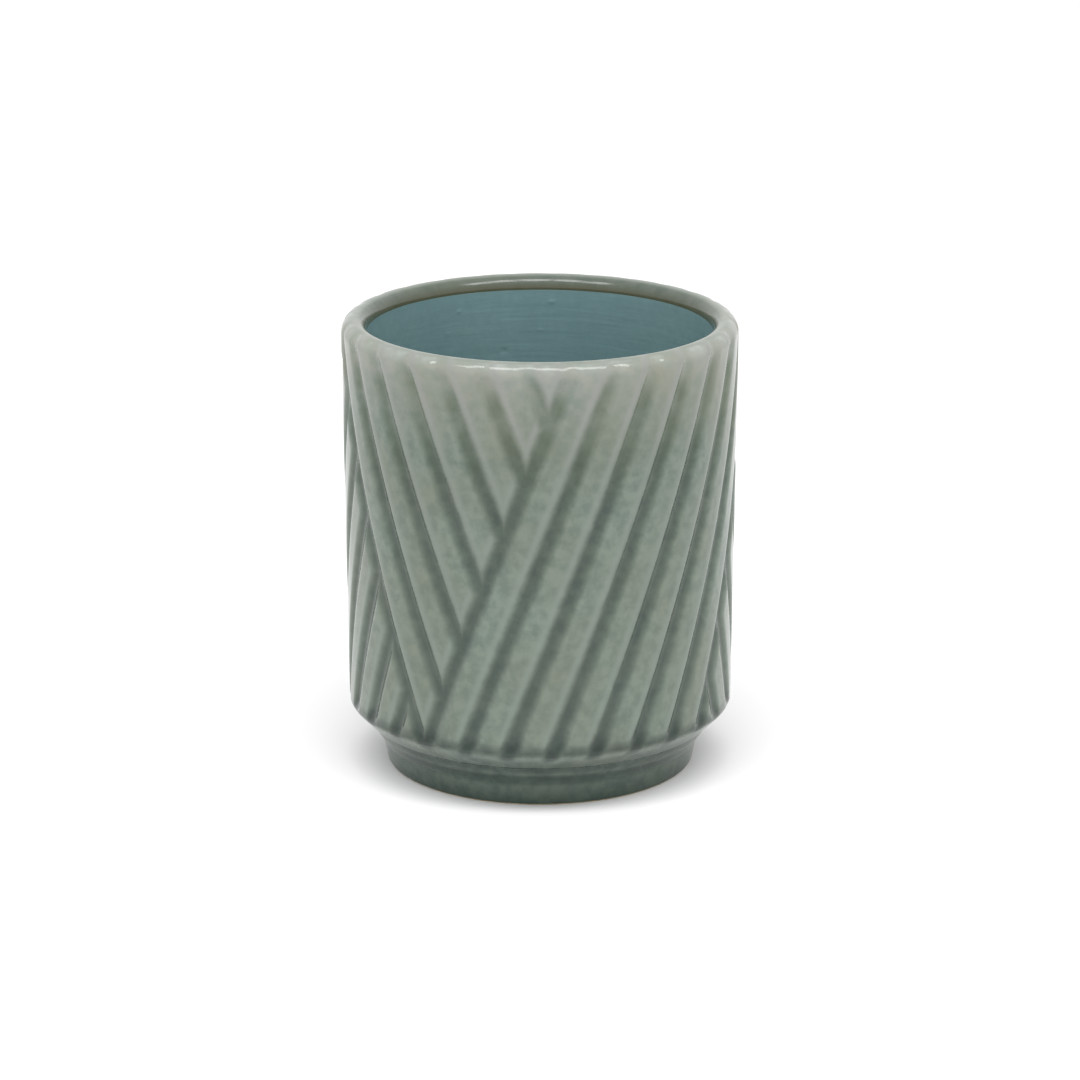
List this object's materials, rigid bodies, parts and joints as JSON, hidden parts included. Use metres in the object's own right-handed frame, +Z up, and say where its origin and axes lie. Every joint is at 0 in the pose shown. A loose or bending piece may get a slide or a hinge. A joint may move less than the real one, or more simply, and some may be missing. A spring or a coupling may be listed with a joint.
{
  "type": "brush pot",
  "caption": "Round straight-sided pot in glazed stoneware that stands on a foot ring and holds writing brushes; its wall has woven leaning ribs.",
  "frame": {"origin": "centre of the circle on which the foot ring stands", "axes": "+Z up along the pot's axis; -Y is the front, where one ribbon of the woven relief lies whole across the wall"},
  "size_m": [0.1, 0.1, 0.116],
  "materials": {
    "stoneware": "matte",
    "celadon": "gloss",
    "lip_celadon": "gloss",
    "lining": "satin",
    "foot_celadon": "gloss",
    "base_celadon": "gloss"
  },
  "bodies": {
    "root": {"clay_body": "celadon", "lip_glaze": "lip_celadon", "inner_glaze": "lining", "foot_glaze": "foot_celadon", "base_glaze": "base_celadon"}
  },
  "joints": []
}
